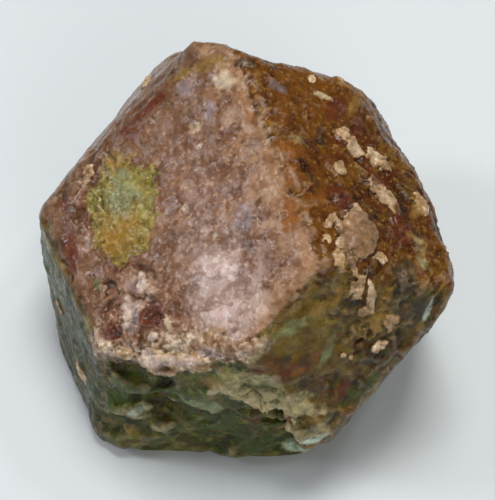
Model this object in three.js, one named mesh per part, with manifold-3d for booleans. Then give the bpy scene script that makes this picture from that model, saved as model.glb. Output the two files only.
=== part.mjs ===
// A garnet crystal: one distorted rhombic dodecahedron, broken at the front and under the base.
//
// Each crystal face is a plane, given by its index in the crystal's own cubic axes and by its
// distance from the crystal's middle. The solid is what lies behind every plane. Units are
// millimetres, +Z is up, and the origin is at the middle of the bounding box's underside.

import * as THREE from 'three';
import { mergeVertices } from 'three/addons/utils/BufferGeometryUtils.js';
import Module from 'manifold-3d';

const wasm = await Module();
wasm.setup();

// ---------------------------------------------------------------- driving dimensions

// Depth of the broken, flat underside below the crystal's middle.
const BASE_DEPTH = 10;
// How far wear takes each sharp edge back, measured square to the worn strip.
const EDGE_WEAR = 0.3;
// Two faces share a worn edge when their bearings differ by more and less than these angles.
const WEAR_ANGLES = { least: 22, most: 95 };
// Side of the block that the crystal is cut from, well over its width.
const BLOCK = 80;
// How the crystal's cubic axes stand in space: turns about X, Y and Z, in degrees.
const CRYSTAL_TURN = { x: 49, y: 60, z: 111 };

// The twelve dodecahedron faces. Uneven growth leaves them at uneven distances, and leans a few
// of them away from the whole-number index.
const CRYSTAL_FACES = [
  { name: 'rose', index: [0.99, 1.01, -0.01], distance: 10.8 },
  { name: 'amber', index: [1.02, 0.04, 0.98], distance: 13.4 },
  { name: 'olive', index: [-0.06, 0.98, 1.02], distance: 15.0 },
  { name: 'back', index: [1.04, -0.96, 0.03], distance: 14.2 },
  { name: 'upper_left', index: [1.05, 0.14, -0.93], distance: 14.7 },
  { name: 'left', index: [0.12, 1.12, -0.86], distance: 14.9 },
  { name: 'right', index: [-0.03, -0.94, 1.05], distance: 13.8 },
  { name: 'lower_right', index: [-0.99, -0.04, 1.01], distance: 14.1 },
  { name: 'lower_left', index: [0.14, -0.09, -1.4], distance: 14.5 },
  { name: 'front', index: [-1.02, 0.98, -0.01], distance: 17.4 },
  { name: 'lower_back', index: [0.02, -1.01, -0.99], distance: 13.5 },
  { name: 'under', index: [-0.98, -1.02, 0.01], distance: 13.5 },
];

// Corners knocked off the crystal, the split that runs down from the rose face, and the worn toe.
const WORN_CORNERS = [
  { name: 'lower_left_corner', index: [-0.87, 0.51, -0.99], distance: 18.3 },
  { name: 'nose', index: [-0.49, -0.33, 1.28], distance: 16.5 },
  { name: 'shoulder', index: [0.49, -0.88, 1.0], distance: 14.5 },
  { name: 'split', index: [-0.27, 1.38, 0.13], distance: 14.3 },
  { name: 'toe', index: [-1.02, 0.87, 0.45], distance: 16.4 },
];

// The broken front: a wedge lost in front of one plane, and to the left of another.
const BREAK_FLOOR = { index: [-0.67, 1.16, 0.45], distance: 14.0 };
const BREAK_END = { index: [0.15, -0.88, 1.1], distance: -1.2 };

// Hollows in the broken front, and lumps grown on the crystal: centre, radii and turn in degrees
// about X, Y and Z. Centres are measured from the crystal's middle.
const HOLLOWS = [
  { name: 'cave_under_lip', at: [-8.3, -12.2, 0.6], radii: [2.6, 2.0, 1.2], turn: [0, 0, -20] },
  { name: 'green_hollow', at: [-6.4, -13.5, -2.8], radii: [3.4, 1.5, 1.7], turn: [0, 0, -18] },
  { name: 'base_notch', at: [-3.1, -13.4, -10.0], radii: [0.8, 2.2, 0.9], turn: [0, 0, 0] },
  { name: 'crevice', at: [2.9, -14.0, -3.4], radii: [2.4, 1.3, 0.5], turn: [0, -14, 0] },
];
const LUMPS = [
  { name: 'tan_knob', at: [8.0, -6.6, 10.7], radii: [1.2, 2.0, 0.9], turn: [0, 27, 0] },
  { name: 'lip', at: [-6.2, -12.5, 3.0], radii: [1.9, 0.9, 1.0], turn: [0, -20, -20] },
  { name: 'lip_end', at: [-3.6, -13.1, 4.6], radii: [1.7, 0.9, 0.9], turn: [0, -20, -15] },
];

// Pieces in each hollow's and lump's skin: how often an icosahedron's edges are halved.
const SKIN_DETAIL = 2;

const STONE = { color: 0x8a6450, roughness: 0.7, metalness: 0, flatShading: true };

// ---------------------------------------------------------------- solids

const crystalTurn = new THREE.Quaternion().setFromEuler(
  new THREE.Euler(
    THREE.MathUtils.degToRad(CRYSTAL_TURN.x),
    THREE.MathUtils.degToRad(CRYSTAL_TURN.y),
    THREE.MathUtils.degToRad(CRYSTAL_TURN.z),
    'XYZ',
  ),
);

// A closed solid from a three.js geometry.
function solidFrom(geometry) {
  const bare = geometry.clone();
  bare.deleteAttribute('normal');
  bare.deleteAttribute('uv');
  const merged = mergeVertices(bare);
  return new wasm.Manifold(
    new wasm.Mesh({
      numProp: 3,
      vertProperties: new Float32Array(merged.attributes.position.array),
      triVerts: new Uint32Array(merged.index.array),
    }),
  );
}

// The plane of a face, with its outward bearing in the part's own axes.
function planeOf({ index, distance }) {
  const normal = new THREE.Vector3(...index).normalize().applyQuaternion(crystalTurn);
  return { normal, distance };
}

// All the space beyond a plane, as a block standing on it.
function spaceBeyond({ normal, distance }) {
  const block = new THREE.BoxGeometry(BLOCK, BLOCK, BLOCK);
  const turn = new THREE.Quaternion().setFromUnitVectors(new THREE.Vector3(0, 0, 1), normal);
  const centre = normal.clone().multiplyScalar(distance + BLOCK / 2);
  block.applyQuaternion(turn);
  block.translate(centre.x, centre.y, centre.z);
  return solidFrom(block);
}

// The narrow worn strip along the edge where two planes meet.
function wornStrip(a, b) {
  const sum = a.normal.clone().add(b.normal);
  const distance = (a.distance + b.distance) / sum.length() - EDGE_WEAR;
  return { normal: sum.normalize(), distance };
}

// The worn strips of every pair of planes that can meet at an edge.
function wornStrips(planes) {
  const strips = [];
  planes.forEach((a, i) => {
    planes.slice(i + 1).forEach((b) => {
      const angle = THREE.MathUtils.radToDeg(a.normal.angleTo(b.normal));
      if (angle > WEAR_ANGLES.least && angle < WEAR_ANGLES.most) {
        strips.push(wornStrip(a, b));
      }
    });
  });
  return strips;
}

// A round lump or hollow, squashed to its radii and turned.
function pebble({ at, radii, turn }) {
  const skin = new THREE.IcosahedronGeometry(1, SKIN_DETAIL);
  const [x, y, z] = turn.map(THREE.MathUtils.degToRad);
  skin.scale(...radii);
  skin.applyQuaternion(new THREE.Quaternion().setFromEuler(new THREE.Euler(x, y, z)));
  skin.translate(...at);
  return solidFrom(skin);
}

function crystalSolid() {
  const faces = [...CRYSTAL_FACES, ...WORN_CORNERS].map(planeOf);
  const underside = { normal: new THREE.Vector3(0, 0, -1), distance: BASE_DEPTH };
  let solid = solidFrom(new THREE.BoxGeometry(BLOCK, BLOCK, BLOCK));
  for (const plane of [...faces, ...wornStrips(faces), underside]) {
    solid = solid.subtract(spaceBeyond(plane));
  }
  const end = planeOf(BREAK_END);
  const leftOfEnd = { normal: end.normal.clone().negate(), distance: -end.distance };
  const lostWedge = spaceBeyond(planeOf(BREAK_FLOOR)).intersect(spaceBeyond(leftOfEnd));
  solid = solid.subtract(lostWedge);
  for (const hollow of HOLLOWS) {
    solid = solid.subtract(pebble(hollow));
  }
  for (const lump of LUMPS) {
    solid = solid.add(pebble(lump));
  }
  return solid;
}

// ---------------------------------------------------------------- the mesh

function geometryOf(solid) {
  const mesh = solid.getMesh();
  const geometry = new THREE.BufferGeometry();
  geometry.setAttribute('position', new THREE.Float32BufferAttribute(mesh.vertProperties, 3));
  geometry.setIndex(new THREE.Uint32BufferAttribute(mesh.triVerts, 1));
  return geometry;
}

// Moves the shape so that the origin is at the middle of its bounding box's underside.
function standOnOrigin(geometry) {
  geometry.computeBoundingBox();
  const middle = geometry.boundingBox.getCenter(new THREE.Vector3());
  geometry.translate(-middle.x, -middle.y, -geometry.boundingBox.min.z);
  geometry.computeVertexNormals();
  return geometry;
}

const shape = standOnOrigin(geometryOf(crystalSolid()));
const crystal = new THREE.Mesh(shape, new THREE.MeshStandardMaterial(STONE));
crystal.name = 'garnet_crystal';

const part = new THREE.Group();
part.add(crystal);

export default part;
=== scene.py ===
"""A worn garnet crystal on a pale floor, in soft studio light.

The crystal's overall shape is a copy of the CAD solid, remeshed evenly and then carved in code:
faces get growth steps, grain and pits, edges get chips, and the broken front gets its facets and
lumps. What each spot is made of is written to point attributes, and the material's nodes turn
those into colour, roughness and fine bump. Lengths are in millimetres until the last step.
"""

import math

import bmesh
import bpy
import numpy as np
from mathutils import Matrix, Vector


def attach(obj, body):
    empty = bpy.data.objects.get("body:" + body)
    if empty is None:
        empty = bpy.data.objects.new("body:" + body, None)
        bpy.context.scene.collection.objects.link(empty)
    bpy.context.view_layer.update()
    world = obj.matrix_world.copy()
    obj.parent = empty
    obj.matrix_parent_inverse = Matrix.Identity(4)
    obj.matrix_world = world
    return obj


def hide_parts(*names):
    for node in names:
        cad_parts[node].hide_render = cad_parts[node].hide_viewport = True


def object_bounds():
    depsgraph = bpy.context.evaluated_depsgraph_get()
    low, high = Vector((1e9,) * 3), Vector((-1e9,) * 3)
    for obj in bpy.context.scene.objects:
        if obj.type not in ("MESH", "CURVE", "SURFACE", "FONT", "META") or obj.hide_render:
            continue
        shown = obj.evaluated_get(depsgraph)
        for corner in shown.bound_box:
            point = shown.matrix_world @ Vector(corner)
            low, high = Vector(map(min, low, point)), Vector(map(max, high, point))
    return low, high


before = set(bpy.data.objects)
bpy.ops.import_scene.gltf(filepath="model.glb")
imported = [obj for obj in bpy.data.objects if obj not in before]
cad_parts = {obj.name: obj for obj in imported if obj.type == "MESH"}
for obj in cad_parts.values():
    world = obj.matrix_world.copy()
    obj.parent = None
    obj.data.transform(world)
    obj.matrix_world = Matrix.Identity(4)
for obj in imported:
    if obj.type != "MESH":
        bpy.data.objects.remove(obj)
cad_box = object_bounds()

MM = 0.001
NODE = "garnet_crystal"

# Spacing of the skin's points. It is halved where small features are.
SKIN_STEP = 0.25
# How far from a face's plane a point still counts as lying on it.
FACE_REACH = 0.3

# The faces, by the way each one looks; their places come from the CAD solid. The second value says
# what the face is made of, as shares of the five grounds.
FACES = {
    "rose": ((-0.465, -0.336, 0.819), {"rose": 1.0}),
    "amber": ((0.457, -0.013, 0.889), {"amber": 1.0}),
    "olive": ((0.308, -0.873, 0.378), {"olive": 1.0}),
    "left": ((-0.91, -0.407, 0.083), {"slate": 0.8, "olive": 0.2}),
    "lower_left": ((-0.848, 0.466, -0.252), {"slate": 0.5, "olive": 0.5}),
    "upper_left": ((-0.751, 0.447, 0.486), {"slate": 0.35, "rose": 0.65}),
    "back": ((0.203, 0.843, 0.498), {"amber": 0.55, "rose": 0.45}),
    "lower_back": ((-0.275, 0.873, -0.402), {"olive": 0.6, "broken": 0.4}),
    "right": ((0.96, 0.275, 0.052), {"amber": 0.7, "olive": 0.3}),
    "lower_right": ((0.757, -0.51, -0.409), {"slate": 0.35, "olive": 0.65}),
    "shoulder": ((0.838, 0.389, 0.383), {"amber": 1.0}),
    "under": ((0.467, 0.345, -0.814), {"olive": 0.6, "slate": 0.4}),
    "split": ((-0.342, -0.933, 0.111), {"broken": 1.0}),
    "break_floor": ((-0.022, -0.993, -0.113), {"broken": 1.0}),
    "break_end": ((-0.943, -0.272, -0.189), {"broken": 1.0}),
    "base": ((0.0, 0.0, -1.0), {"broken": 1.0}),
}
GROUNDS = ("rose", "amber", "olive", "slate", "broken")
# These two cut into the solid, so their planes run on through it beyond the faces themselves.
INWARD_FACES = ("break_floor", "break_end")

# Places on a face are given across and up it, from its middle. Turns are in degrees, from up the
# face towards across it.

# Raised crust flakes and lumps on each face: across, up, half length, half width, turn, height.
FLAKES = {}
FLAKES["amber"] = (
    (3.0, 0.8, 0.78, 0.78, 40, 0.24),
    (2.2, -0.3, 0.84, 0.65, 10, 0.22),
    (2.1, -2.1, 1.01, 0.81, 20, 0.26),
    (1.5, -3.2, 0.47, 0.36, 40, 0.18),
    (-0.1, 0.9, 0.56, 0.42, 80, 0.16),
    (-0.7, -2.0, 0.9, 0.55, 50, 0.22),
    (-1.5, -2.9, 0.84, 0.65, 35, 0.24),
    (-2.3, -3.7, 0.67, 0.42, 45, 0.2),
    (-5.1, 1.6, 0.84, 0.36, 120, 0.16),
    (-7.0, 1.9, 0.5, 0.52, 0, 0.2),
    (-6.0, -0.3, 2.02, 1.43, 100, 0.3),
    (-4.2, -0.4, 1.06, 0.49, 85, 0.26),
    (-6.9, 0.6, 0.78, 0.78, 40, 0.3),
    (-8.3, 0.6, 0.84, 0.55, 110, 0.24),
    (-7.2, -2.3, 0.62, 0.49, 0, 0.22),
    (7.7, 3.4, 0.34, 0.33, 0, 0.14),
    (6.4, 2.4, 0.84, 0.29, 5, 0.12),
    (-0.8, -6.3, 0.84, 0.65, 60, 0.16),
    (-9.4, -1.2, 0.78, 0.59, 60, 0.26),
)
FLAKES["olive"] = (
    (0.7, 7.4, 0.5, 0.42, 20, 0.24),
    (1.7, 6.2, 0.34, 0.3, 0, 0.22),
    (2.7, 4.2, 1.15, 0.34, 10, 0.24),
    (2.2, 2.7, 0.55, 0.42, 70, 0.2),
    (4.0, 1.2, 0.85, 0.55, 30, 0.28),
    (3.0, -0.8, 0.62, 0.45, 70, 0.24),
    (0.1, -0.6, 0.24, 0.2, 0, 0.16),
    (0.6, -1.0, 0.2, 0.16, 0, 0.14),
)
FLAKES["rose"] = (
    (-8.9, -3.4, 0.8, 0.65, 131, 0.18),
    (6.3, -8.9, 1.25, 0.85, 60, 0.3),
    (5.4, -7.6, 0.5, 0.36, 48, 0.22),
    (7.7, -7.9, 0.95, 0.6, 50, 0.22),
    (9.4, -6.4, 0.9, 0.55, 60, 0.22),
    (4.1, -10.4, 0.7, 0.45, 60, 0.26),
    (5.7, -6.1, 0.95, 0.3, 110, 0.2),
)
FLAKES["break_floor"] = (
    (0.6, 6.1, 0.9, 0.6, 95, 0.45),
    (1.9, 5.0, 0.9, 0.62, 120, 0.55),
    (3.4, 4.8, 1.0, 0.7, 80, 0.6),
    (5.1, 3.2, 1.0, 0.55, 125, 0.5),
)

# Gentle swells, in the same order. A height below 0 makes a fall.
SWELLS = {}
SWELLS["split"] = (
    (-2.0, -3.0, 1.1, 0.7, 70, 0.4),
    (0.3, -4.3, 0.8, 0.6, 60, 0.4),
    (-4.5, -7.2, 2.0, 1.4, 90, 0.35),
)
SWELLS["rose"] = (
    (-9.0, 10.0, 2.2, 1.4, 20, 0.4),
    (-10.0, 5.4, 3.0, 1.4, 0, -0.4),
)
SWELLS["amber"] = (
    (6.2, -3.6, 3.0, 1.3, 40, -0.25),
)
SWELLS["break_floor"] = (
    (1.5, -5.2, 4.5, 1.8, 90, 0.5),
)

# Pits, in the same order but with a depth last.
PITS = {}
PITS["olive"] = (
    (2.3, 0.5, 0.42, 0.24, 10, 0.45),
    (1.5, 0.0, 0.34, 0.22, 60, 0.35),
)
PITS["rose"] = (
    (4.1, -6.8, 0.8, 0.55, 48, 0.28),
    (2.6, -10.1, 0.6, 0.42, 30, 0.25),
    (-0.9, -6.3, 0.95, 0.3, 18, 0.22),
    (0.4, -5.0, 0.95, 0.28, 62, 0.24),
    (1.9, -4.7, 0.7, 0.26, 110, 0.2),
)
PITS["amber"] = (
    (1.0, -1.0, 1.1, 0.35, 35, 0.22),
    (-3.2, -3.4, 0.8, 0.35, 60, 0.22),
)
PITS["break_floor"] = (
    (3.4, 2.4, 2.6, 0.45, 98, 0.7),
    (-1.6, 0.4, 1.4, 0.5, 40, 0.4),
)

# Colours set into the faces: tint, across, up, half length, half width, turn, strength.
TINTED = {}
TINTED["rose"] = (
    ("red", -8.8, 3.8, 1.6, 0.6, 8, 0.85),
    ("red", -8.3, 1.3, 1.4, 0.8, 20, 0.7),
    ("red", 4.0, -6.8, 1.5, 1.05, 48, 1.0),
    ("red", 2.4, -9.9, 1.25, 0.8, 30, 1.0),
    ("red", -5.6, -8.2, 3.2, 0.7, 125, 0.7),
    # Painted shadow: these two red-brown strips darken the scarp's pits below the patch, under the
    # edge where a shell sprang off.
    ("red", -0.9, -6.3, 1.0, 0.26, 18, 0.55),
    ("red", 0.4, -5.0, 1.0, 0.24, 62, 0.6),
    ("orange", -6.1, 2.3, 0.42, 0.34, 0, 0.9),
    ("orange", -0.9, 9.3, 0.8, 0.5, 100, 0.75),
    ("orange", 8.6, -6.0, 0.6, 0.45, 0, 0.95),
    ("orange", 9.6, -4.4, 1.7, 0.6, 60, 0.45),
    ("orange", 3.9, -9.1, 0.9, 0.48, 48, 0.8),
    ("orange", 11.0, -3.4, 0.9, 0.4, 48, 0.6),
    ("ochre", -7.7, -0.7, 0.9, 0.7, 60, 0.85),
    ("ochre", -8.0, 8.2, 2.0, 0.55, 30, 0.7),
    ("ochre", -6.6, 10.2, 1.4, 0.6, 60, 0.6),
    ("ochre", 8.8, -3.8, 1.3, 0.55, 60, 0.5),
    ("lilac", -7.5, 6.8, 1.0, 0.7, 30, 0.65),
    ("lilac", -4.3, 7.2, 0.75, 0.55, 131, 0.75),
    ("lilac", -1.0, -0.3, 0.75, 0.45, 131, 0.6),
    ("lilac", 4.2, 3.4, 1.2, 0.8, 131, 0.65),
    ("lilac", 9.6, -5.4, 0.9, 0.36, 60, 0.8),
    ("lilac", 1.4, -6.3, 1.0, 0.6, 60, 0.65),
    ("lilac", 3.0, -8.0, 1.3, 0.5, 131, 0.7),
    ("lilac", 7.0, -8.6, 0.8, 0.3, 60, 0.7),
    ("cream", -5.2, 9.6, 1.1, 0.8, 48, 0.7),
    ("cream", -4.4, 5.4, 0.6, 0.4, 60, 0.6),
    ("cream", 3.5, 1.0, 0.34, 0.28, 0, 0.95),
    ("cream", -2.9, 4.7, 0.26, 0.2, 0, 0.9),
    ("cream", -0.2, 0.7, 0.3, 0.22, 0, 0.8),
    ("cream", 5.7, -6.1, 0.95, 0.26, 110, 0.85),
    ("blush", 1.6, -5.8, 0.9, 0.5, 120, 0.85),
    ("blush", 2.1, -8.1, 1.4, 0.42, 131, 0.8),
    ("blush", 6.3, -8.9, 1.1, 0.6, 60, 0.9),
    ("blush", 7.7, -7.9, 0.8, 0.4, 50, 0.85),
    ("blush", 9.1, -6.6, 0.8, 0.4, 60, 0.8),
    ("blush", 5.4, -7.6, 0.5, 0.34, 48, 0.95),
    ("mint", -1.4, -8.6, 0.55, 0.3, 131, 0.8),
    ("dark", -5.0, 11.6, 0.9, 0.45, 60, 0.7),
    ("dark", -9.8, -5.5, 1.3, 0.4, 125, 0.6),
)
TINTED["amber"] = (
    ("red", 5.5, 1.2, 1.6, 0.8, 120, 0.8),
    ("red", 4.4, -0.6, 1.2, 0.6, 100, 0.7),
    ("red", 0.5, -1.7, 1.3, 0.6, 60, 0.8),
    ("red", -3.8, -4.4, 1.5, 0.9, 70, 0.8),
    ("red", -2.8, 1.0, 1.4, 0.8, 60, 0.75),
    ("orange", -1.1, 5.0, 2.6, 0.65, 82, 0.75),
    ("orange", -5.0, 4.6, 1.9, 0.6, 75, 0.8),
    ("orange", -3.5, 2.4, 0.9, 0.6, 40, 0.85),
    ("orange", 3.4, 5.8, 1.6, 0.55, 80, 0.6),
    ("ochre", 6.0, 8.0, 0.8, 0.45, 90, 0.6),
    ("ochre", -4.2, -5.2, 0.6, 0.5, 0, 0.6),
    ("ochre", 3.4, -3.8, 2.1, 0.45, 100, 0.5),
    ("ochre", -1.0, -5.8, 1.8, 0.45, 100, 0.5),
    ("ochre", 6.6, -0.4, 1.4, 0.45, 115, 0.5),
    ("lilac", 5.8, 6.3, 0.8, 0.5, 20, 0.6),
    ("cream", -6.9, 0.9, 0.5, 0.4, 40, 0.6),
    ("cream", 2.2, -0.3, 0.7, 0.55, 10, 0.5),
    ("cream", 2.1, -2.1, 0.8, 0.6, 20, 0.5),
    ("cream", -1.5, -2.9, 0.7, 0.5, 35, 0.6),
    ("tan", -6.2, -0.3, 2.0, 1.3, 100, 0.9),
    ("straw", 6.4, 2.4, 0.8, 0.3, 5, 0.7),
    ("straw", 1.2, 4.5, 0.8, 0.34, 0, 0.35),
    ("straw", -5.6, -6.0, 1.7, 0.6, 80, 0.45),
    ("dark", 2.4, 2.6, 1.3, 0.45, 100, 0.6),
    ("dark", -1.9, 3.2, 0.9, 0.4, 60, 0.55),
    ("dark", -1.4, -4.6, 1.4, 0.4, 100, 0.7),
)
TINTED["olive"] = (
    ("red", -4.7, -0.8, 1.0, 0.42, 70, 0.9),
    ("red", -0.2, -3.9, 0.7, 0.45, 30, 0.9),
    ("red", -6.8, -0.3, 0.7, 0.42, 60, 0.8),
    ("red", -5.2, 0.2, 1.2, 0.45, 100, 0.4),
    ("orange", -2.1, 0.1, 0.62, 0.36, 30, 0.8),
    ("orange", -3.6, -1.0, 0.6, 0.3, 80, 0.7),
    ("orange", -2.6, -5.3, 1.2, 0.4, 60, 0.45),
    ("ochre", -0.6, 4.3, 1.7, 0.6, 65, 0.6),
    ("ochre", 0.8, 6.4, 1.3, 0.8, 30, 0.6),
    ("ochre", 3.2, 1.8, 1.8, 0.9, 40, 0.5),
    ("cream", 2.7, 4.2, 1.0, 0.26, 10, 0.6),
    ("straw", -6.2, 1.8, 1.4, 0.5, 60, 0.5),
    ("straw", -3.4, -7.0, 1.6, 0.9, 80, 0.5),
    ("straw", -3.9, -3.4, 1.4, 0.6, 100, 0.55),
    ("green", 1.2, -4.4, 1.6, 0.7, 70, 0.7),
    ("green", 8.0, 4.4, 0.9, 0.4, 20, 0.7),
    ("mint", -3.5, 3.2, 1.6, 0.6, 72, 0.5),
    ("mint", -0.9, 0.4, 1.5, 0.3, 31, 0.7),
    ("grey", -4.3, 0.5, 0.6, 0.32, 60, 0.8),
    ("grey", 2.1, -1.8, 0.8, 0.5, 60, 0.7),
    ("grey", 5.6, 4.0, 1.9, 1.1, 20, 0.75),
    ("grey", 6.2, 1.4, 1.7, 1.0, 30, 0.7),
    ("white", 7.2, 1.2, 1.1, 0.24, 25, 0.95),
    ("white", -3.8, -8.2, 1.6, 0.7, 80, 0.8),
)
TINTED["split"] = (
    ("red", -1.8, -6.6, 1.0, 0.22, 88, 0.6),
    ("ochre", -3.2, -5.4, 1.4, 0.6, 80, 0.5),
    ("ochre", 5.2, 3.4, 2.4, 0.8, 95, 0.8),
    ("cream", 4.4, 2.6, 0.5, 0.3, 60, 0.8),
    ("cream", 5.9, 3.6, 0.6, 0.3, 80, 0.8),
    ("straw", -2.0, -3.0, 1.4, 0.8, 70, 0.55),
    ("straw", 0.3, -4.3, 1.0, 0.6, 60, 0.6),
    ("green", -1.0, -0.4, 3.4, 0.6, 55, 0.9),
    ("green", 2.0, 1.2, 2.0, 0.6, 115, 0.8),
    ("green", 4.6, -3.6, 2.0, 1.3, 60, 0.8),
    ("green", -4.2, -4.0, 1.4, 0.8, 20, 0.5),
    ("mint", 3.4, 0.2, 1.7, 0.6, 100, 0.9),
    # Painted shade: this dark tint darkens the hollow under the lip.
    ("dark", -2.3, 2.2, 2.3, 0.85, 92, 0.9),
    ("white", -1.9, -2.9, 0.6, 0.32, 70, 0.75),
)
TINTED["break_floor"] = (
    ("red", 2.6, 1.1, 1.8, 0.24, 84, 0.8),
    ("red", 8.3, 0.4, 0.8, 0.6, 0, 0.8),
    ("orange", 2.4, 9.8, 1.6, 0.5, 100, 0.5),
    ("ochre", 5.8, 0.2, 2.1, 0.5, 72, 0.8),
    ("ochre", 0.6, 6.6, 2.8, 0.8, 92, 0.7),
    ("cream", 3.4, 4.9, 2.4, 0.45, 108, 0.6),
    ("straw", 1.2, 8.4, 2.6, 0.9, 95, 0.55),
    ("straw", 2.6, 5.6, 3.6, 1.2, 102, 1.0),
    ("green", -0.4, -0.4, 2.8, 1.0, 140, 0.8),
    ("green", 2.3, -2.9, 2.0, 1.1, 90, 0.8),
    ("mint", -2.4, 3.1, 1.8, 0.6, 120, 0.9),
    ("mint", 5.2, -3.4, 1.3, 0.5, 85, 0.8),
    # Painted shade: this dark tint lies in the crevice of the pit under the pale lumps.
    ("dark", 3.4, 2.4, 2.4, 0.34, 98, 0.8),
    ("white", 5.6, -3.7, 1.3, 0.6, 85, 0.9),
)

# The tints, in linear red, green and blue.
TINTS = {
    "red": (0.13, 0.024, 0.009),
    "orange": (0.27, 0.095, 0.014),
    "ochre": (0.34, 0.205, 0.05),
    "lilac": (0.32, 0.245, 0.255),
    "cream": (0.69, 0.58, 0.43),
    "blush": (0.74, 0.61, 0.55),
    "tan": (0.3, 0.172, 0.092),
    "straw": (0.52, 0.47, 0.26),
    "green": (0.062, 0.1, 0.022),
    "mint": (0.255, 0.31, 0.15),
    "grey": (0.056, 0.047, 0.029),
    # Dark stone in most places, but painted shade in the hollow under the lip and in the crevice on
    # the broken floor.
    "dark": (0.04, 0.02, 0.008),
    "white": (0.56, 0.7, 0.59),
}

# Larger areas, each a face, across, up, half length, half width and turn: the yellow-green patch
# set into the rose face with its blue-grey heart and ochre ends, the two strips where shells of
# the face have sprung off, and the rose face's glossy part, which also gets a painted highlight.
PATCH = ("rose", -4.3, -3.0, 4.3, 3.1, 131)
PATCH_HEART = ("rose", -5.3, -2.5, 1.7, 1.3, 131)
PATCH_LOWER_END = ("rose", -2.6, -5.0, 2.3, 2.1, 131)
PATCH_UPPER_END = ("rose", -7.0, -0.6, 1.2, 0.8, 48)
BATTERED_CORNER = ("rose", 3.2, -7.6, 4.6, 2.6, 75)
BATTERED_EDGE = ("rose", -8.6, -2.8, 6.5, 1.5, 132)
GLOSS_PAINTED_SHEEN = ("rose", 7.3, -1.4, 4.4, 2.4, 118)

# Besides the flakes and pits and a margin round each, the skin is fine here: face, across, up and
# radius of the patch, the battered corner and the lip beyond it.
FINE_MARGIN = 0.35
FINE_AREAS = (
    ("rose", -4.3, -3.0, 4.3),
    ("rose", 4.5, -7.5, 4.3),
    ("rose", 9.3, -6.0, 2.2),
)
# Rounds of blurring that take the steps out of the remeshed skin.
FIRST_SOFTENING = 2
# How far the worn, waxy grounds are smoothed, in rounds of blurring.
SOFTENING = {"broken": 3, "slate": 2, "olive": 1}

# Flakes strewn at random on the other faces: how many, and how far they reach from its middle.
STREWN = {
    "back": (6, 6.0),
    "right": (6, 5.0),
    "upper_left": (3, 4.0),
    "lower_back": (5, 5.5),
    "lower_right": (4, 4.5),
    "left": (2, 3.5),
    "under": (3, 3.0),
}
STREWN_SEED = 400

# The solid's hollow under the lip, on the split face: across, up, half width and half height.
LIP_HOLLOW = (-0.6, 2.0, 5.0, 2.6)
# The share of its depth that is drawn out, past the first part, which stays.
LIP_HOLLOW_LOSS = 0.8
LIP_HOLLOW_LEFT = 0.35

# Skin within this height of the floor belongs to the flat underside, which is barely carved.
UNDERSIDE_HEIGHT = 0.25
UNDERSIDE_SHARE = 0.35


# ---------------------------------------------------------------- steady noise


def lattice(cell, seed):
    """A steady random number from 0 to 1 for each whole-number point."""
    c = cell.astype(np.int64)
    mixed = (c[:, 0] * 73856093) ^ (c[:, 1] * 19349663) ^ (c[:, 2] * 83492791)
    mixed = (mixed ^ (seed * 2246822519)) & 0x7FFFFFFF
    mixed = ((mixed ^ (mixed >> 13)) * 1274126177) & 0x7FFFFFFF
    mixed = ((mixed ^ (mixed >> 15)) * 1103515245) & 0x7FFFFFFF
    return ((mixed ^ (mixed >> 14)) & 0xFFFFFF) / 0x1000000


def lattice_vector(cell, seed):
    """Three steady random numbers from 0 to 1 for each whole-number point."""
    return np.stack([lattice(cell, seed + axis) for axis in range(3)], axis=1)


def noise(points, size, seed):
    """Smooth noise from -1 to 1, whose blobs are about that size."""
    place = points / size + 7.31 * seed
    base = np.floor(place)
    part = place - base
    ease = part**3 * (part * (part * 6 - 15) + 10)
    total = np.zeros(len(points))
    for corner in np.ndindex(2, 2, 2):
        step = np.array(corner)
        share = np.prod(np.where(step, ease, 1 - ease), axis=1)
        total += share * lattice(base + step, seed)
    return total * 2 - 1


def fractal(points, size, seed, octaves=4, gain=0.5):
    """Noise with finer noise on it, from about -1 to 1."""
    turn = np.array([[0.8, 0.6, 0.0], [-0.48, 0.64, 0.6], [0.36, -0.48, 0.8]])
    total = np.zeros(len(points))
    weight = 1.0
    reach = 0.0
    for octave in range(octaves):
        total += weight * noise(points, size / 2**octave, seed + octave)
        reach += weight
        weight *= gain
        points = points @ turn
    return total / reach * 1.4


def chips(points, size, seed):
    """Flat facets at random tilts, one to each cell of about that size.

    Gives each point's height on its facet in millimetres for a slope of 1, a random number from 0
    to 1 for the facet, and how far the point is from the facet's border, from 0 to 1.
    """
    place = points / size
    base = np.floor(place)
    near = np.full(len(points), 9.0)
    after = near.copy()
    own = np.zeros_like(place)
    away = np.zeros_like(place)
    for offset in np.ndindex(3, 3, 3):
        cell = base + np.array(offset) - 1
        apart = place - cell - lattice_vector(cell, seed)
        distance = np.linalg.norm(apart, axis=1)
        closer = distance < near
        after = np.where(closer, near, np.minimum(after, distance))
        near = np.where(closer, distance, near)
        own = np.where(closer[:, None], cell, own)
        away = np.where(closer[:, None], apart, away)
    lean = lattice_vector(own, seed + 5) * 2 - 1
    height = np.sum(away * lean, axis=1) * size
    return height, lattice(own, seed + 9), np.clip((after - near) * 1.6, 0, 1)


def ramp(value, start, end):
    """0 below start, 1 above end, and an eased rise between; start may be the larger."""
    part = np.clip((value - start) / (end - start), 0, 1)
    return part * part * (3 - 2 * part)


# ---------------------------------------------------------------- the blank


def read(items, name, width=3, kind=float):
    """One property of a mesh's points or edges, as an array with a row for each."""
    values = np.empty(len(items) * width, kind)
    items.foreach_get(name, values)
    return values.reshape(-1, width)


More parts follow.
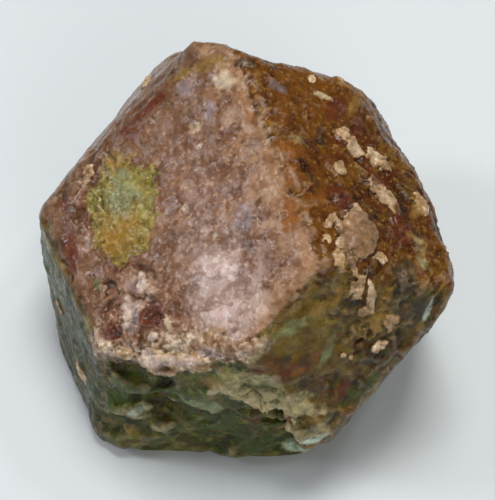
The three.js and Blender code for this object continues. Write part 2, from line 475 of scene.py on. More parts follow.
def cad_planes():
    """Each face's plane in the CAD solid: its normal, distance, middle and two directions in it."""
    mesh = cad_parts[NODE].data
    corners = read(mesh.vertices, "co") / MM
    mesh.calc_loop_triangles()
    triangles = corners[np.array([t.vertices for t in mesh.loop_triangles])]
    crosses = np.cross(triangles[:, 1] - triangles[:, 0], triangles[:, 2] - triangles[:, 0])
    areas = np.linalg.norm(crosses, axis=1) / 2
    whole = areas > 1e-6
    triangles = triangles[whole]
    areas = areas[whole]
    normals = crosses[whole] / (2 * areas[:, None])
    planes = {}
    for name, (bearing, _) in FACES.items():
        own = normals @ (np.array(bearing) / np.linalg.norm(bearing)) > 0.9995
        weight = areas[own][:, None]
        normal = (normals[own] * weight).sum(0)
        normal /= np.linalg.norm(normal)
        middle = (triangles[own].mean(1) * weight).sum(0) / weight.sum()
        upward = (0.0, 1.0, 0.0) if name == "base" else (0.0, 0.0, 1.0)
        up = upward - (upward @ normal) * normal
        up /= np.linalg.norm(up)
        planes[name] = {
            "normal": normal,
            "distance": middle @ normal,
            "middle": middle,
            "up": up,
            "across": np.cross(up, normal),
        }
    return planes


def add_to_scene(name, data):
    thing = bpy.data.objects.new(name, data)
    bpy.context.scene.collection.objects.link(thing)
    return thing


def crystal_blank():
    """The CAD solid, in millimetres, as one even skin of small quads."""
    solid = bmesh.new()
    solid.from_mesh(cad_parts[NODE].data)
    bmesh.ops.scale(solid, vec=(1 / MM,) * 3, verts=solid.verts)
    bmesh.ops.remove_doubles(solid, verts=solid.verts, dist=0.001)
    bmesh.ops.triangulate(solid, faces=solid.faces)
    mesh = bpy.data.meshes.new("crystal_skin")
    solid.to_mesh(mesh)
    solid.free()
    skin = add_to_scene("crystal", mesh)
    remesh = skin.modifiers.new("even", "REMESH")
    remesh.mode = "VOXEL"
    remesh.voxel_size = SKIN_STEP
    remesh.adaptivity = 0
    depsgraph = bpy.context.evaluated_depsgraph_get()
    even = bpy.data.meshes.new_from_object(skin.evaluated_get(depsgraph))
    skin.modifiers.clear()
    skin.data = even
    return skin


def refine(mesh, spots):
    """Halves the spacing of the points round the spots, each a centre and a radius."""
    points = read(mesh.vertices, "co")
    chosen = np.zeros(len(points), bool)
    for centre, radius in spots:
        chosen |= np.linalg.norm(points - centre, axis=1) < radius
    finer = bmesh.new()
    finer.from_mesh(mesh)
    finer.verts.ensure_lookup_table()
    edges = [e for e in finer.edges if chosen[e.verts[0].index] and chosen[e.verts[1].index]]
    bmesh.ops.subdivide_edges(finer, edges=edges, cuts=1, use_grid_fill=True)
    bmesh.ops.triangulate(finer, faces=[f for f in finer.faces if len(f.verts) > 4])
    finer.to_mesh(mesh)
    finer.free()


class Skin:
    """The points of a mesh as arrays, with what carving needs to know of them."""

    def __init__(self, mesh):
        self.mesh = mesh
        self.points = read(mesh.vertices, "co")
        self.edges = read(mesh.edges, "vertices", 2, np.int64)
        self.degree = np.bincount(self.edges.ravel(), minlength=len(self.points))
        self.normals = self.find_normals()

    def around(self, values):
        """The mean of each point's neighbours."""
        total = np.zeros_like(values)
        for a, b in ((0, 1), (1, 0)):
            for column in range(values.shape[1]):
                total[:, column] += np.bincount(
                    self.edges[:, a], values[self.edges[:, b], column], len(values)
                )
        return total / self.degree[:, None]

    def blur(self, values, rounds):
        """Values spread over their neighbours that many times."""
        spread = values.reshape(len(values), -1)
        for _ in range(rounds):
            spread = (spread + self.around(spread)) / 2
        return spread.reshape(values.shape)

    def find_normals(self):
        """Writes the points to the mesh and gives their normals."""
        self.mesh.vertices.foreach_set("co", self.points.ravel())
        self.mesh.update()
        return read(self.mesh.vertex_normals, "vector")

    def push(self, heights):
        """Moves the points out along the softened normals."""
        outward = self.blur(self.normals, 3)
        outward /= np.linalg.norm(outward, axis=1)[:, None]
        self.points += outward * heights[:, None]
        self.normals = self.find_normals()

    def hollowness(self, rounds):
        """Above 0 in hollows and below 0 on ridges, in millimetres."""
        return np.sum((self.blur(self.points, rounds) - self.points) * self.normals, axis=1)


PLANES = cad_planes()


def point_on(face, across, up):
    plane = PLANES[face]
    return plane["middle"] + across * plane["across"] + up * plane["up"]


def rows_of(table):
    """A table's rows one by one, each with the face that it is listed under put first."""
    return [(face, *row) for face, rows in table.items() for row in rows]


fine_spots = [
    (point_on(face, across, up), max(length, width) + FINE_MARGIN)
    for face, across, up, length, width, *_ in rows_of(FLAKES) + rows_of(PITS)
]
fine_spots += [(point_on(*where), radius) for *where, radius in FINE_AREAS]

blank = crystal_blank()
refine(blank.data, fine_spots)
skin = Skin(blank.data)
skin.points = skin.blur(skin.points, FIRST_SOFTENING)
skin.normals = skin.find_normals()
places = skin.points.copy()


# ---------------------------------------------------------------- faces and grounds

depth = {name: p["distance"] - places @ p["normal"] for name, p in PLANES.items()}


def face_shares():
    """How much each point belongs to each face, as shares that add up to 1."""
    shares = {}
    for name, plane in PLANES.items():
        facing = np.clip(skin.normals @ plane["normal"], 0, 1)
        shares[name] = np.exp(-np.abs(depth[name]) / FACE_REACH) * facing**6 + 1e-9
    total = sum(shares.values())
    return {name: share / total for name, share in shares.items()}


shares = face_shares()
ground = {
    name: sum(shares[face] * made_of.get(name, 0) for face, (_, made_of) in FACES.items())
    for name in GROUNDS
}
outer_depths = [np.abs(depth[name]) for name in FACES if name not in INWARD_FACES]
# The grey-green of the left face gives way to olive-brown towards its upper edges.
upper_gap = np.minimum(depth["rose"], depth["upper_left"])
lost = ground["slate"] * 0.7 * ramp(upper_gap + 0.9 * fractal(places, 1.6, 17, 3), 2.0, 0.2)
ground["slate"] = ground["slate"] - lost
ground["olive"] = ground["olive"] + lost
edge_gap = np.sort(np.stack(outer_depths), axis=0)[1]


def on_face(face):
    """Coordinates in a face's plane from its middle, and the depth below the plane."""
    plane = PLANES[face]
    away = places - plane["middle"]
    return away @ plane["across"], away @ plane["up"], -away @ plane["normal"]


# Wobbles that every spot's outline shares.
coarse_wobble = fractal(places, 1.1, 11, 3, 0.6)
_, chip_wobble, _ = chips(places, 0.5, 15)


def spot(face, across, up, half_length, half_width, turn, ragged, soft):
    """A ragged oval on a face, 1 inside and 0 outside."""
    x, y, below = on_face(face)
    angle = math.radians(turn)
    along = (x - across) * math.sin(angle) + (y - up) * math.cos(angle)
    beside = (x - across) * math.cos(angle) - (y - up) * math.sin(angle)
    wobble = coarse_wobble + 0.9 * (chip_wobble - 0.5)
    reach = np.hypot(along / half_length, beside / half_width) + ragged * wobble
    return ramp(reach, 1 + soft / 2, 1 - soft / 2) * ramp(np.abs(below), 2.2, 1.2)


# ---------------------------------------------------------------- relief of the grounds

# Sizes and heights are in millimetres. The largest whole number in a noise's call is its seed.


def stretched(direction, times):
    """Places squeezed along a direction, so that noise read there runs long that way."""
    unit = np.array(direction) / np.linalg.norm(direction)
    return places - np.outer(places @ unit, unit) * (1 - 1 / times)


def edge_of(first, second):
    """The direction of the edge where two faces meet."""
    return np.cross(PLANES[first]["normal"], PLANES[second]["normal"])


def terraces(size, levels, seed):
    """Growth layers with curved, stepped borders, from 0 to 1 for each layer and a slow rise."""
    value = (fractal(places, size, seed, 3) * 0.5 + 0.5) * levels
    part = value - np.floor(value)
    return (np.floor(value) + ramp(part, 0.78, 1.0)) / levels


def facets(size, seed, slope, step):
    """Hackly relief: flat chips of about that size, with steps between them."""
    height, tone, _ = chips(places + 0.25 * size * coarse_wobble[:, None], size, seed)
    return slope * height + step * (tone - 0.5)


def sugar(size, seed):
    """Rounded grains side by side, from 0 in the joints to 1 on top."""
    _, tone, inside = chips(places, size, seed)
    return inside * (0.4 + 0.6 * tone)


def broad_relief():
    """The unevenness that every face shares, and the chips along the edges."""
    height = 0.17 * fractal(places, 9.0, 21, 3) + 0.08 * fractal(places, 3.0, 25, 3)
    _, tone, _ = chips(places + 0.5 * coarse_wobble[:, None], 1.9, 33)
    near_edge = np.clip(1 - edge_gap / 0.95, 0, 1)
    chipped = near_edge * np.clip((tone - 0.45) * 1.6, 0, 1)
    nibbled = ramp(edge_gap, 0.5, 0.0) * np.clip(fractal(places, 0.8, 37, 3), -0.3, 1)
    return height - 0.45 * chipped - 0.16 * nibbled


def rose_relief():
    layers = 0.36 * terraces(7.0, 6, 41)
    grains = 0.035 * sugar(0.7, 43) * ramp(fractal(places, 3.5, 45), -0.2, 0.5)
    return layers - 0.2 + grains + 0.05 * fractal(places, 1.0, 47, 3)


def amber_relief():
    furrows = fractal(stretched(edge_of("amber", "shoulder"), 3.0), 1.4, 51, 4)
    grit = sugar(0.55, 53) * ramp(on_face("amber")[1] + coarse_wobble, -4.0, -7.0)
    return 0.12 * furrows + 0.1 * grit + facets(1.3, 55, 0.1, 0.08) + 0.3 * terraces(5, 5, 57)


def olive_window():
    """The smooth, clearer part of the olive face, next to the rose face."""
    x, y, _ = on_face("olive")
    return ramp(x + 0.25 * y + 1.2 * coarse_wobble, 1.2, -0.6) * ramp(y + coarse_wobble, -3.0, -1.4)


def olive_relief():
    rough = facets(1.7, 61, 0.2, 0.17) + facets(0.8, 63, 0.13, 0.07) + 0.07 * coarse_wobble
    smooth = 0.025 * fractal(places, 1.0, 67, 3) + 0.15 * terraces(5.0, 4, 69)
    window = olive_window()
    return (1 - window) * rough + window * smooth


def slate_relief():
    grown = stretched(edge_of("left", "rose"), 5.0)
    ribs = 0.05 * noise(grown, 0.8, 71) + 0.11 * noise(grown, 1.6, 73)
    return ribs + facets(1.5, 75, 0.08, 0.07) + 0.05 * coarse_wobble


def broken_relief():
    sheets = facets(2.8, 81, 0.23, 0.18) + facets(1.3, 85, 0.15, 0.04)
    rubble = 0.1 * sugar(0.75, 89) + 0.16 * fractal(places, 1.8, 91, 4)
    return (sheets + rubble) * ramp(places[:, 2], 0.2, 1.4) - 0.08


relief = broad_relief()
carvers = {
    "rose": rose_relief,
    "amber": amber_relief,
    "olive": olive_relief,
    "slate": slate_relief,
    "broken": broken_relief,
}
for name, carve in carvers.items():
    relief += ground[name] * skin.blur(carve(), SOFTENING.get(name, 0))


# ---------------------------------------------------------------- placed features

crust_grain = facets(0.7, 95, 0.1, 0.03)


def scattered_flakes(face, count, reach, seed):
    """Small flakes at random on a face, as rows_of gives them."""
    random = np.random.default_rng(seed)
    for _ in range(count):
        across, up = random.uniform(-reach, reach, 2)
        length = random.uniform(0.45, 1.15)
        width = length * random.uniform(0.5, 0.9)
        yield (face, across, up, length, width, random.uniform(0, 180), random.uniform(0.14, 0.26))


flakes = rows_of(FLAKES)
for number, (face, (count, reach)) in enumerate(STREWN.items()):
    flakes += scattered_flakes(face, count, reach, STREWN_SEED + number)

crust = np.zeros(len(places))
for *where, height in flakes:
    flake = spot(*where, ragged=0.45, soft=0.6)
    relief += flake * (height + crust_grain)
    crust = np.maximum(crust, flake)
for *where, height in rows_of(SWELLS):
    relief += height * spot(*where, ragged=0.1, soft=1.4)
for *where, fall in rows_of(PITS):
    relief -= fall * spot(*where, ragged=0.3, soft=0.8)

# The patch is a shallow, gritty dish.
patch = spot(*PATCH, ragged=0.24, soft=0.34)
relief += patch * (0.07 * fractal(places, 0.9, 243, 4) + facets(0.7, 247, 0.12, 0.05) - 0.08)

# The rose face's battered lower left, where shells of it have sprung off.
battered = ground["rose"] * np.maximum(
    spot(*BATTERED_CORNER, ragged=0.3, soft=0.7),
    spot(*BATTERED_EDGE, ragged=0.3, soft=0.8),
)
relief += battered * (facets(1.9, 263, 0.22, 0.24) + facets(0.8, 267, 0.14, 0.08) - 0.08)

# A row of rounded, glassy grains along the lip over the broken front.
lip = ramp(depth["split"] + 0.8 * coarse_wobble, 2.0, 0.9)
lip *= ramp(depth["rose"] + 0.6 * coarse_wobble, 1.7, 0.8)
relief += lip * (0.3 * sugar(1.1, 283) - 0.08)

# The solid's hollow under the lip is drawn out until it is shallow.
x, y, below = on_face("split")
middle_x, middle_y, half_width, half_height = LIP_HOLLOW
from_middle = np.hypot((x - middle_x) / half_width, (y - middle_y) / half_height)
hollow_share = ramp(from_middle, 1.1, 0.8) * ramp(below, 4.5, 3.5)
drawn_out = LIP_HOLLOW_LOSS * hollow_share * np.maximum(below - LIP_HOLLOW_LEFT, 0)
skin.points += drawn_out[:, None] * PLANES["split"]["normal"]

# The flat underside stays on the floor plane.
on_floor = places[:, 2] < UNDERSIDE_HEIGHT
relief = np.where(on_floor, np.minimum(relief, 0) * UNDERSIDE_SHARE, relief)

skin.push(relief)
skin.points[:, 2] = np.maximum(skin.points[:, 2], 0)
skin.normals = skin.find_normals()


# ---------------------------------------------------------------- attributes

hollows = np.clip(skin.hollowness(5) / 0.09, -1, 1) * 0.5 + 0.5
deep = np.clip(skin.hollowness(40) / 0.4, -1, 1) * 0.5 + 0.5

tints = {name: np.zeros(len(places)) for name in TINTS}
for face, tint, *where, strength in rows_of(TINTED):
    shape = spot(face, *where, ragged=0.35, soft=0.8)
    tints[tint] = np.maximum(tints[tint], strength * shape)

left_gap = np.minimum(depth["left"], depth["upper_left"])
brown = ground["rose"] * ramp(left_gap + 1.5 * coarse_wobble, 5.5, 0.5)
ridge_gap = np.minimum(depth["amber"], depth["olive"])
ridge = ground["rose"] * ramp(ridge_gap + 1.3 * coarse_wobble, 3.6, 0.4)
worn_edge = ramp(edge_gap + 0.25 * coarse_wobble, 0.45, 0.0)
# Painted highlight: this area of the rose face is painted a paler lilac, standing in for a soft
# reflection; it is also made glossier.
gloss_and_painted_sheen = ground["rose"] * spot(*GLOSS_PAINTED_SHEEN, ragged=0.4, soft=1.2)
# Painted light: the amber face is painted a brighter orange up the face, as light shining through
# the stone.
painted_glow = ground["amber"] * ramp(on_face("amber")[1] + 1.2 * coarse_wobble, -2.0, 3.0)
patch_blue = patch * spot(*PATCH_HEART, ragged=0.4, soft=1.0)
patch_ochre = patch * np.maximum(
    spot(*PATCH_LOWER_END, ragged=0.4, soft=1.0),
    spot(*PATCH_UPPER_END, ragged=0.35, soft=0.9),
)

ATTRIBUTES = {
    **ground,
    **tints,
    "crust": crust,
    "patch": patch,
    "patch_blue": patch_blue,
    "patch_ochre": patch_ochre,
    "battered": battered,
    "lip": lip,
    "hollows": hollows,
    "deep": deep,
    "gloss_and_painted_sheen": gloss_and_painted_sheen,
    "painted_glow": painted_glow,
    "brown": brown,
    "ridge": ridge,
    "worn_edge": worn_edge,
    "window": ground["olive"] * olive_window(),
}
for name, values in ATTRIBUTES.items():
    layer = blank.data.attributes.new(name, "FLOAT", "POINT")
    layer.data.foreach_set("value", values.astype(np.float32))


# ---------------------------------------------------------------- material


class Graph:
    """Short names for the shader nodes that the stone is drawn with. Sizes are in millimetres."""

    def __init__(self, material):
        self.tree = material.node_tree
        self.tree.nodes.clear()
        place = self.new("TexCoord")
        self.place = self.vector("SCALE", place.outputs["Object"], factor=1 / MM)

    def new(self, kind):
        return self.tree.nodes.new("ShaderNode" + kind)

    def put(self, value, socket):
        """Links a socket, or sets a plain number or colour."""
        if isinstance(value, bpy.types.NodeSocket):
            self.tree.links.new(value, socket)
        elif isinstance(value, tuple):
            socket.default_value = (*value, 1.0)[: len(socket.default_value)]
        else:
            socket.default_value = value

    def vector(self, operation, first, second=None, factor=None):
        node = self.new("VectorMath")
        node.operation = operation
        self.put(first, node.inputs[0])
        if second is not None:
            self.put(second, node.inputs[1])
        if factor is not None:
            self.put(factor, node.inputs["Scale"])
        return node.outputs[0]

    def attribute(self, name):
        node = self.new("Attribute")
        node.attribute_name = name
        return node.outputs["Fac"]

    def math(self, operation, first, second=0.0, third=0.0, clamp=False):
        node = self.new("Math")
        node.operation = operation
        node.use_clamp = clamp
        for value, socket in zip((first, second, third), node.inputs):
            self.put(value, socket)
        return node.outputs[0]

    def split(self, colour):
        node = self.new("SeparateColor")
        self.put(colour, node.inputs[0])
        return list(node.outputs)[:3]

    def noise(self, size, detail=3.0, distortion=0.0, output="Color"):
        node = self.new("TexNoise")
        self.put(self.place, node.inputs["Vector"])
        self.put(1 / size, node.inputs["Scale"])
        self.put(detail, node.inputs["Detail"])
        node.inputs["Roughness"].default_value = 0.6
        self.put(distortion, node.inputs["Distortion"])
        return node.outputs[output]

    def clouds(self, size, distortion=0.0, detail=3.0):
        """Three unlike noises, each spread to fill 0 to 1."""
        channels = self.split(self.noise(size, detail, distortion=distortion))
        return [self.range(channel, 0.32, 0.68) for channel in channels]

    def cells(self, size, warp):
        """A colour of its own for each grain of about that size."""
        node = self.new("TexVoronoi")
        bent = self.vector("SCALE", warp, factor=size * 0.9)
        self.put(self.vector("ADD", self.place, bent), node.inputs["Vector"])
        self.put(1 / size, node.inputs["Scale"])
        return node.outputs["Color"]

    def range(self, value, low, high, new_low=0.0, new_high=1.0):
        node = self.new("MapRange")
        for number, socket in zip((low, high, new_low, new_high), list(node.inputs)[1:5]):
            socket.default_value = number
        self.put(value, node.inputs["Value"])
        return node.outputs["Result"]

    def mix(self, share, first, second):
        node = self.new("Mix")
        node.data_type = "RGBA"
        for value, socket in ((share, 0), (first, 6), (second, 7)):
            self.put(value, node.inputs[socket])
        return node.outputs[2]

    def colours(self, value, *stops):
        """A blend through colours: a place from 0 to 1, then red, green and blue for each."""
        node = self.new("ValToRGB")
        elements = node.color_ramp.elements
        while len(elements) < len(stops):
            elements.new(1.0)
        for element, (position, *colour) in zip(elements, stops):
            element.position = position
            element.color = (*colour, 1.0)
        self.put(value, node.inputs["Fac"])
        return node.outputs["Color"]

    def total(self, parts, middle=0.5):
        """Weighted sum of values round their middles, as (value, weight) pairs."""
        result = middle
        for value, weight in parts:
            shifted = self.math("MULTIPLY_ADD", value, weight, -0.5 * weight)
            result = self.math("ADD", shifted, result)
        return result


class Stone(Graph):
    """The stone's own noises, shared by all its colours."""

    def __init__(self, material):
        super().__init__(material)
        self.big = self.clouds(3.4, 0.7)
        self.middling = self.clouds(1.2, 0.5)
        self.small = self.clouds(0.42, detail=1.5)
        self.warp = self.noise(0.5, detail=1.0)
        self.grain_colour = self.cells(0.42, self.warp)
        self.lump_colour = self.cells(1.1, self.warp)
        self.grain = self.split(self.grain_colour)
        self.lump = self.split(self.lump_colour)

    def tone(self, kind, weights=(0.62, 0.66, 0.14, 0.06, 0.2)):
        """A mottle from 0 to 1; kind picks one of three that have nothing in common."""
        sources = (self.big, self.middling, self.small, self.grain, self.lump)
        picks = [source[(kind + place) % 3] for place, source in enumerate(sources)]
        return self.total(list(zip(picks, weights)))

    def patched(self, colour, kind, start, end, strength, other):
        """A colour with ragged patches of another; a start nearer 1 makes them rarer."""
        mottle = self.tone(kind, (0.45, 0.7, 0.35, 0.05, 0.08))
        return self.mix(self.range(mottle, start, end, 0.0, strength), colour, other)

    def ragged(self, name, size="middling", amount=0.6, sharp=3.0, kind=0):
        """An attribute with its soft border broken up by noise."""
        parts = [(getattr(self, size)[kind], amount), (self.small[kind], 0.5 * amount)]
        wobble = self.total(parts, 0.0)
        own = self.attribute(name)
        moved = self.math("ADD", own, wobble)
        broken_up = self.math("MULTIPLY_ADD", moved, sharp, 0.5 - sharp / 2, clamp=True)
        return self.math("MULTIPLY", broken_up, self.range(own, 0.0, 0.15))

    def scaled(self, share, factor):
        return self.math("MULTIPLY", share, factor)


def rose_colour(g):
    """Dusty rose-brown, clouded with tan and mauve, and flecked with cream and red-brown."""
    colour = g.colours(
        g.tone(0),
        (0.05, 0.095, 0.037, 0.018),
        (0.32, 0.153, 0.068, 0.034),
        (0.58, 0.194, 0.093, 0.051),
        (0.9, 0.257, 0.142, 0.09),
    )
    colour = g.patched(colour, 1, 0.54, 0.68, 0.55, (0.167, 0.076, 0.024))
    colour = g.patched(colour, 2, 0.57, 0.72, 0.5, (0.203, 0.12, 0.097))
    colour = g.patched(colour, 0, 0.6, 0.74, 0.5, (0.286, 0.164, 0.101))
    colour = g.mix(g.range(g.small[2], 0.8, 1.0, 0.0, 0.7), colour, (0.408, 0.262, 0.175))
    colour = g.mix(g.range(g.tone(2), 0.26, 0.1, 0.0, 0.65), colour, (0.095, 0.028, 0.01))
    brown = g.scaled(g.ragged("brown", sharp=1.4, kind=2), 0.65)
    colour = g.mix(brown, colour, g.mix(g.tone(1), (0.072, 0.025, 0.008), (0.195, 0.095, 0.038)))
    pale = g.scaled(g.ragged("ridge", sharp=1.6, kind=1), 0.7)
    colour = g.mix(pale, colour, g.mix(g.tone(2), (0.256, 0.126, 0.06), (0.495, 0.318, 0.197)))
    # Painted highlight: the glossy area is painted pale lilac, as a soft reflection would look.
    painted_sheen_share = g.scaled(g.attribute("gloss_and_painted_sheen"), g.range(g.tone(1), 0.22, 0.62, 0.42, 1.0))
    colour = g.mix(painted_sheen_share, colour, (0.549, 0.423, 0.41))
    rubble = g.colours(
        g.tone(2),
        (0.1, 0.073, 0.022, 0.007),
        (0.35, 0.162, 0.067, 0.032),
        (0.58, 0.253, 0.136, 0.082),
        (0.8, 0.405, 0.262, 0.192),
        (0.96, 0.609, 0.451, 0.351),
    )
    return g.mix(g.scaled(g.ragged("battered", sharp=1.6), 0.85), colour, rubble)


def amber_colour(g):
    """Orange-brown where light gets in by the rose face, painted brighter there as light shining
    through, to red-brown and dark beyond.
    """
    colour = g.colours(
        g.tone(1),
        (0.05, 0.017, 0.005, 0.002),
        (0.32, 0.055, 0.016, 0.002),
        (0.55, 0.103, 0.033, 0.002),
        (0.78, 0.154, 0.062, 0.006),
        (0.96, 0.25, 0.133, 0.024),
    )
    colour = g.patched(colour, 2, 0.52, 0.64, 0.8, (0.09, 0.018, 0.002))
    colour = g.patched(colour, 0, 0.56, 0.68, 0.65, (0.146, 0.072, 0.01))
    # Painted light: brighter orange where light would shine through from the rose face.
    painted_glow_share = g.scaled(g.attribute("painted_glow"), g.range(g.tone(0), 0.25, 0.65, 0.05, 0.75))
    colour = g.mix(painted_glow_share, colour, (0.165, 0.055, 0.002))
    return g.mix(g.range(g.small[0], 0.78, 1.0, 0.0, 0.75), colour, (0.259, 0.149, 0.031))


def olive_colour(g):
    """Clear olive-brown in the smooth window, and grey-brown, tan and green beyond it."""
    rough = g.colours(
        g.tone(2),
        (0.05, 0.019, 0.01, 0.002),
        (0.32, 0.056, 0.033, 0.005),
        (0.56, 0.106, 0.066, 0.01),
        (0.78, 0.184, 0.124, 0.026),
        (0.96, 0.338, 0.236, 0.066),
    )
    rough = g.patched(rough, 0, 0.55, 0.68, 0.65, (0.106, 0.036, 0.005))
    rough = g.patched(rough, 1, 0.56, 0.7, 0.6, (0.078, 0.078, 0.02))
    rough = g.patched(rough, 2, 0.62, 0.74, 0.6, (0.189, 0.114, 0.02))
    clear = g.colours(
        g.tone(2, (0.75, 0.5, 0.15, 0.06, 0.06)),
        (0.1, 0.078, 0.035, 0.004),
        (0.4, 0.13, 0.077, 0.009),
        (0.62, 0.155, 0.107, 0.017),
        (0.9, 0.217, 0.167, 0.041),
    )
    return g.mix(g.ragged("window", sharp=2.0, kind=1), rough, clear)


def slate_colour(g):
    """Grey-green, clouded with olive-brown, dark teal and tan, with paler grains.

    Part of the green and the teal is painted bounce light from a teal surround.
    """
    colour = g.colours(
        g.tone(0),
        (0.05, 0.012, 0.013, 0.006),
        (0.35, 0.026, 0.034, 0.013),
        (0.6, 0.043, 0.061, 0.026),
        (0.88, 0.083, 0.111, 0.054),
    )
    colour = g.patched(colour, 2, 0.5, 0.66, 0.75, (0.061, 0.047, 0.014))
    colour = g.patched(colour, 1, 0.58, 0.72, 0.5, (0.026, 0.068, 0.035))
    colour = g.patched(colour, 0, 0.62, 0.76, 0.6, (0.129, 0.111, 0.049))
    return g.mix(g.range(g.small[1], 0.84, 1.0, 0.0, 0.55), colour, (0.182, 0.19, 0.103))


def broken_colour(g):
    """Dark green and brown fracture."""
    colour = g.colours(
        g.tone(1),
        (0.05, 0.01, 0.012, 0.002),
        (0.32, 0.034, 0.04, 0.004),
        (0.56, 0.07, 0.078, 0.01),
        (0.78, 0.126, 0.133, 0.022),
        (0.96, 0.245, 0.268, 0.061),
    )
    colour = g.patched(colour, 0, 0.52, 0.66, 0.75, (0.048, 0.077, 0.008))
    colour = g.patched(colour, 2, 0.57, 0.7, 0.65, (0.095, 0.057, 0.007))
    return g.patched(colour, 1, 0.64, 0.76, 0.6, (0.168, 0.161, 0.027))


def patch_colour(g):
    """Ochre and olive-yellow grit round a blue-grey heart, with dark specks."""
    colour = g.colours(
        g.tone(1, (0.3, 0.6, 0.45, 0.12, 0.15)),
        (0.1, 0.137, 0.108, 0.019),
        (0.38, 0.211, 0.172, 0.034),
        (0.62, 0.27, 0.23, 0.058),
        (0.92, 0.392, 0.35, 0.129),
    )
    ochre = g.scaled(g.attribute("patch_ochre"), g.range(g.tone(0), 0.15, 0.65, 0.45, 1.0))
    colour = g.mix(ochre, colour, (0.318, 0.178, 0.024))
    colour = g.mix(g.scaled(g.ragged("patch_blue", sharp=1.5), 0.8), colour, (0.245, 0.275, 0.148))
    return g.mix(g.range(g.small[1], 0.2, 0.02, 0.0, 0.6), colour, (0.083, 0.066, 0.016))


def crust_colour(g):
    """Tan to pinkish cream, as the flakes and lumps are."""
    return g.colours(
        g.tone(0, (0.35, 0.35, 0.55, 0.3, 0.2)),
        (0.08, 0.235, 0.142, 0.066),
        (0.4, 0.38, 0.248, 0.134),
        (0.68, 0.5, 0.36, 0.228),
        (0.95, 0.75, 0.62, 0.48),
    )


def lip_colour(g):
    """Cloudy white and blush grains, with tan and orange-brown between them."""
    return g.colours(
        g.tone(1, (0.3, 0.55, 0.3, 0.2, 0.45)),
        (0.1, 0.09, 0.04, 0.014),
        (0.34, 0.225, 0.129, 0.068),
        (0.58, 0.396, 0.28, 0.2),
        (0.84, 0.738, 0.628, 0.52),
    )


def stone_colour(g):
    """The grounds laid over each other, then what is set into and onto them."""
    colour = olive_colour(g)
    paints = {
        "broken": broken_colour,
        "slate": slate_colour,
        "amber": amber_colour,
        "rose": rose_colour,
    }
    for kind, (name, paint) in enumerate(paints.items()):
        colour = g.mix(g.ragged(name, sharp=2.6, kind=kind % 3), colour, paint(g))
    colour = g.mix(g.ragged("lip", "middling", 0.6, 2.0), colour, lip_colour(g))
    colour = g.mix(g.ragged("patch", "middling", 0.9, 1.7), colour, patch_colour(g))
    colour = g.mix(g.ragged("crust", "small", 0.3, 3.5, 1), colour, crust_colour(g))
    for kind, (name, tint) in enumerate(TINTS.items()):
        share = g.ragged(name, "middling", 0.5, 1.5, kind % 3)
        shade = g.mix(g.tone(kind, (0.1, 0.3, 0.6, 0.4, 0.2)), tuple(0.55 * c for c in tint), tint)
        colour = g.mix(g.scaled(share, 0.9), colour, shade)
    return colour


def shaded(g, colour):
    """Painted shade in the small and the deep hollows, rubbed ridges, and a brightness of its own
    for each small grain.
    """
    # Painted shade: the small hollows are darkened towards near black.
    painted_hollow_shade = g.range(g.attribute("hollows"), 0.55, 1.0, 0.0, 0.8)
    colour = g.mix(painted_hollow_shade, colour, g.mix(0.85, colour, (0.016, 0.01, 0.005)))
    # Painted shade: the deep hollows, such as the one under the lip, are darkened further.
    painted_deep_shade = g.range(g.attribute("deep"), 0.62, 1.0, 0.0, 0.5)
    colour = g.mix(painted_deep_shade, colour, (0.016, 0.014, 0.007))
    rubbed = g.range(g.attribute("hollows"), 0.42, 0.1, 0.0, 0.45)
    colour = g.mix(rubbed, colour, g.mix(0.55, colour, (0.43, 0.335, 0.25)))
    worn = g.scaled(g.ragged("worn_edge", "small", 0.6, 1.5), 0.45)
    colour = g.mix(worn, colour, g.mix(0.5, colour, (0.48, 0.37, 0.26)))
    brightness = g.total([(g.grain[0], 0.08), (g.lump[1], 0.2), (g.small[0], 0.08)], 1.0)
    return g.vector("SCALE", colour, factor=brightness)


def stone_relief(g):
    """Fine bump, with the surface tipped a little in each grain so that some of them glint."""
    geometry = g.new("NewGeometry")
    fine_tip = g.vector("SCALE", g.vector("SUBTRACT", g.grain_colour, (0.5,) * 3), factor=0.12)
    wide_tip = g.vector("SCALE", g.vector("SUBTRACT", g.lump_colour, (0.5,) * 3), factor=0.2)
    tipped = g.vector("ADD", g.vector("ADD", geometry.outputs["Normal"], fine_tip), wide_tip)
    height = g.total([(g.small[0], 0.8), (g.grain[1], 0.3), (g.middling[1], 0.6)])
    height = g.math("ADD", height, g.scaled(g.noise(0.22, 1.0, output="Fac"), 0.6))
    bump = g.new("Bump")
    bump.inputs["Strength"].default_value = 0.5
    bump.inputs["Distance"].default_value = 0.07 * MM
    g.put(height, bump.inputs["Height"])
    facing = g.vector("NORMALIZE", tipped)
    g.put(facing, bump.inputs["Normal"])
    return bump.outputs[0], facing


# The stone's shader values that don't change over it.
SAME_ALL_OVER = {
    "IOR": 1.6,
    "Subsurface Weight": 0.45,
    "Subsurface Radius": (1.0, 0.55, 0.3),
    "Subsurface Scale": 0.8 * MM,
    "Coat Roughness": 0.16,
}
# How dull each ground is beside the slate, which counts as 1, and how glossy some areas are.
DULLNESS = {
    "broken": 0.75,
    "olive": 0.65,
    "amber": 0.65,
    "rose": 0.45,
    "gloss_and_painted_sheen": -0.7,
    "battered": -0.45,
    "lip": -0.45,
}


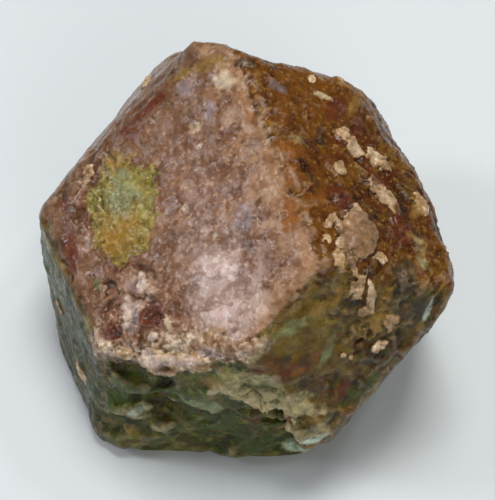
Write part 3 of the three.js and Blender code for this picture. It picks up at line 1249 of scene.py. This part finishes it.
def stone_material():
    material = bpy.data.materials.new("garnet_stone")
    material.use_nodes = True
    g = Stone(material)
    output = g.new("OutputMaterial")
    surface = g.new("BsdfPrincipled")
    g.put(surface.outputs[0], output.inputs["Surface"])
    g.put(shaded(g, stone_colour(g)), surface.inputs["Base Color"])
    roughness = g.total([(g.grain[2], 0.3), (g.small[1], 0.12), (g.middling[2], 0.2)], 0.34)
    clearer = g.math("MULTIPLY_ADD", g.attribute("window"), -0.1, roughness)
    g.put(g.math("MULTIPLY_ADD", g.attribute("crust"), 0.12, clearer), surface.inputs["Roughness"])
    for name, value in SAME_ALL_OVER.items():
        surface.inputs[name].default_value = value
    normal, coat_normal = stone_relief(g)
    g.put(normal, surface.inputs["Normal"])
    g.put(coat_normal, surface.inputs["Coat Normal"])
    dull = g.attribute("slate")
    for name, share in DULLNESS.items():
        dull = g.math("MULTIPLY_ADD", g.attribute(name), share, dull)
    g.put(g.math("MULTIPLY_ADD", dull, -0.24, 0.28, clamp=True), surface.inputs["Coat Weight"])
    g.put(g.math("MULTIPLY_ADD", dull, -0.19, 0.26), surface.inputs["Specular IOR Level"])
    return material


def finish_crystal():
    """Scales the carved skin to metres and sets it up as the crystal that is seen."""
    skin.points *= MM
    skin.find_normals()
    blank.data.shade_smooth()
    blank.data.materials.clear()
    blank.data.materials.append(stone_material())
    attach(blank, "root")
    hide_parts(NODE)


finish_crystal()


# ---------------------------------------------------------------- floor, light and camera

FLOOR_COLOUR = (0.66, 0.74, 0.84)
FLOOR_SIZE = 3.0
WORLD_COLOUR = (1.0, 0.95, 0.88)
WORLD_STRENGTH = 0.16
# Square soft lights: name, bearing, distance, side, power and colour.
LIGHTS = (
    ("window_light", (-0.8, 0.05, 0.6), 0.5, 0.14, 0.62, (1.0, 0.95, 0.95)),
    ("top_light", (0.05, 0.15, 1.0), 0.6, 0.24, 2.5, (1.0, 0.94, 0.83)),
    ("front_fill", (0.25, -0.8, 0.55), 0.7, 0.3, 1.0, (1.0, 0.94, 0.8)),
    ("glint_light", (0.45, 0.25, 0.8), 0.5, 0.05, 0.22, (1.0, 0.97, 0.92)),
)
# The camera stands this far from the point that it looks at, and looks down by this angle.
CAMERA_DISTANCE = 160 * MM
CAMERA_DOWN = 55
LENS = 144
SENSOR = 36
# The point the camera looks at, from the middle of the CAD box.
LOOK_AT = Vector((0.52, -0.04, -2.72)) * MM


def make_floor():
    mesh = bpy.data.meshes.new("floor")
    half = FLOOR_SIZE / 2
    corners = [(-half, -half, 0), (half, -half, 0), (half, half, 0), (-half, half, 0)]
    mesh.from_pydata(corners, [], [(0, 1, 2, 3)])
    floor = add_to_scene("floor", mesh)
    material = bpy.data.materials.new("pale_floor")
    material.use_nodes = True
    surface = material.node_tree.nodes["Principled BSDF"]
    surface.inputs["Base Color"].default_value = (*FLOOR_COLOUR, 1)
    surface.inputs["Roughness"].default_value = 0.85
    mesh.materials.append(material)


def softbox(name, bearing, distance, size, power, colour):
    """A square area light that looks at the crystal from a bearing."""
    light = bpy.data.lights.new(name, "AREA")
    light.size = size
    light.energy = power
    light.color = colour
    lamp = add_to_scene(name, light)
    way = Vector(bearing).normalized()
    lamp.location = way * distance
    lamp.rotation_euler = way.to_track_quat("Z", "Y").to_euler()


def make_world():
    world = bpy.data.worlds.new("studio")
    world.use_nodes = True
    background = world.node_tree.nodes["Background"]
    background.inputs["Color"].default_value = (*WORLD_COLOUR, 1)
    background.inputs["Strength"].default_value = WORLD_STRENGTH
    bpy.context.scene.world = world


def make_camera():
    low, high = cad_box
    centre = (low + high) / 2 + LOOK_AT
    angle = math.radians(CAMERA_DOWN)
    back = Vector((0, -math.cos(angle), math.sin(angle)))
    data = bpy.data.cameras.new("camera")
    data.lens = LENS
    data.sensor_width = SENSOR
    data.clip_start = 0.01
    camera = add_to_scene("camera", data)
    camera.location = centre + back * CAMERA_DISTANCE
    camera.rotation_euler = back.to_track_quat("Z", "Y").to_euler()
    bpy.context.scene.camera = camera


make_floor()
make_world()
for light in LIGHTS:
    softbox(*light)
make_camera()
bpy.context.scene.view_settings.view_transform = "Standard"
